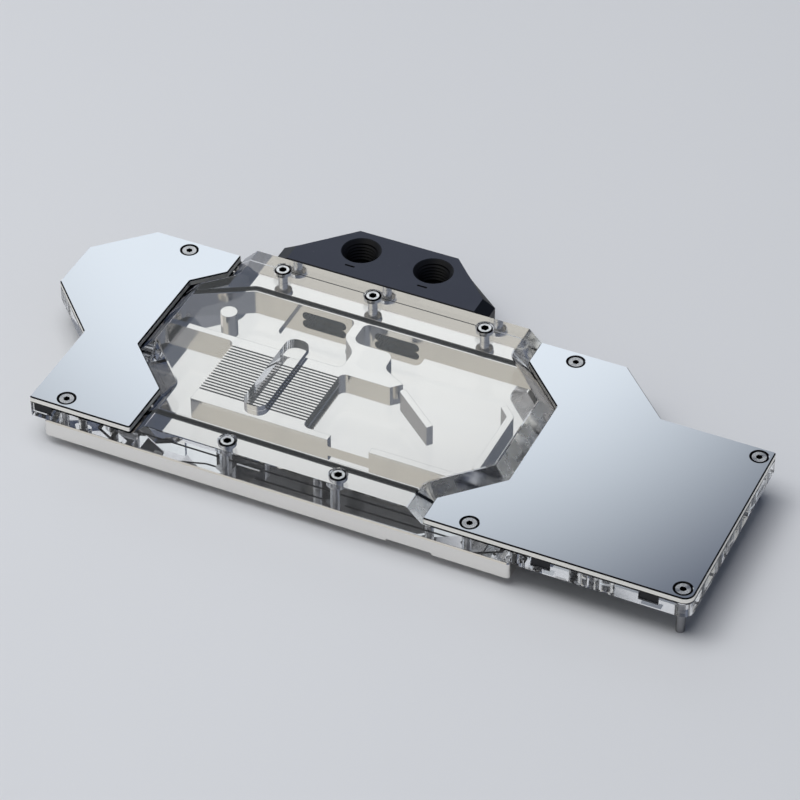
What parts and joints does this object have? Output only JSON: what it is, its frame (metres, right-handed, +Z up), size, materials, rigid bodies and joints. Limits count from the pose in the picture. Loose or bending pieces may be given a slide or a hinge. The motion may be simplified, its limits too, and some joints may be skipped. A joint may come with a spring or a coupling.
{
  "type": "gpu water block",
  "caption": "Full cover graphics card water block: nickel plated cold plate with fins under a clear raised window, two polished metal covers and a black terminal block with threaded ports.",
  "frame": {"origin": "centre of the chip contact pad's lower face, under the middle of the fins", "axes": "+X along the card towards the long cover, +Y towards the terminal block, +Z up from the chip through the clear window"},
  "size_m": [0.253, 0.1238, 0.0201],
  "materials": {
    "nickel_plate": "bright nickel plating on milled copper",
    "clear_acrylic": "clear cast acrylic, polished",
    "polished_cover": "mirror polished metal with matt cut edges",
    "black_rubber": "soft matt rubber",
    "black_acetal": "fine matt milled acetal",
    "screw_steel": "nickel plated screw",
    "standoff_brass": "turned brass"
  },
  "bodies": {
    "root": {"cold_plate": "nickel_plate", "acrylic_top": "clear_acrylic", "lamp_blanks": "black_acetal", "left_cover": "polished_cover", "right_cover": "polished_cover", "channel_seal": "black_rubber", "inlet_seal": "black_rubber", "outlet_seal": "black_rubber", "terminal_block": "black_acetal", "back_left_window_screw": "screw_steel", "back_middle_window_screw": "screw_steel", "back_right_window_screw": "screw_steel", "front_left_window_screw": "screw_steel", "front_right_window_screw": "screw_steel", "left_wing_screws": "screw_steel", "right_wing_screws": "screw_steel", "left_front_cover_screw": "screw_steel", "left_back_cover_screw": "screw_steel", "right_front_cover_screw": "screw_steel", "right_back_cover_screw": "screw_steel", "end_front_cover_screw": "screw_steel", "end_back_cover_screw": "screw_steel", "terminal_screws": "screw_steel", "chip_standoffs": "standoff_brass", "end_standoffs": "standoff_brass"}
  },
  "joints": []
}
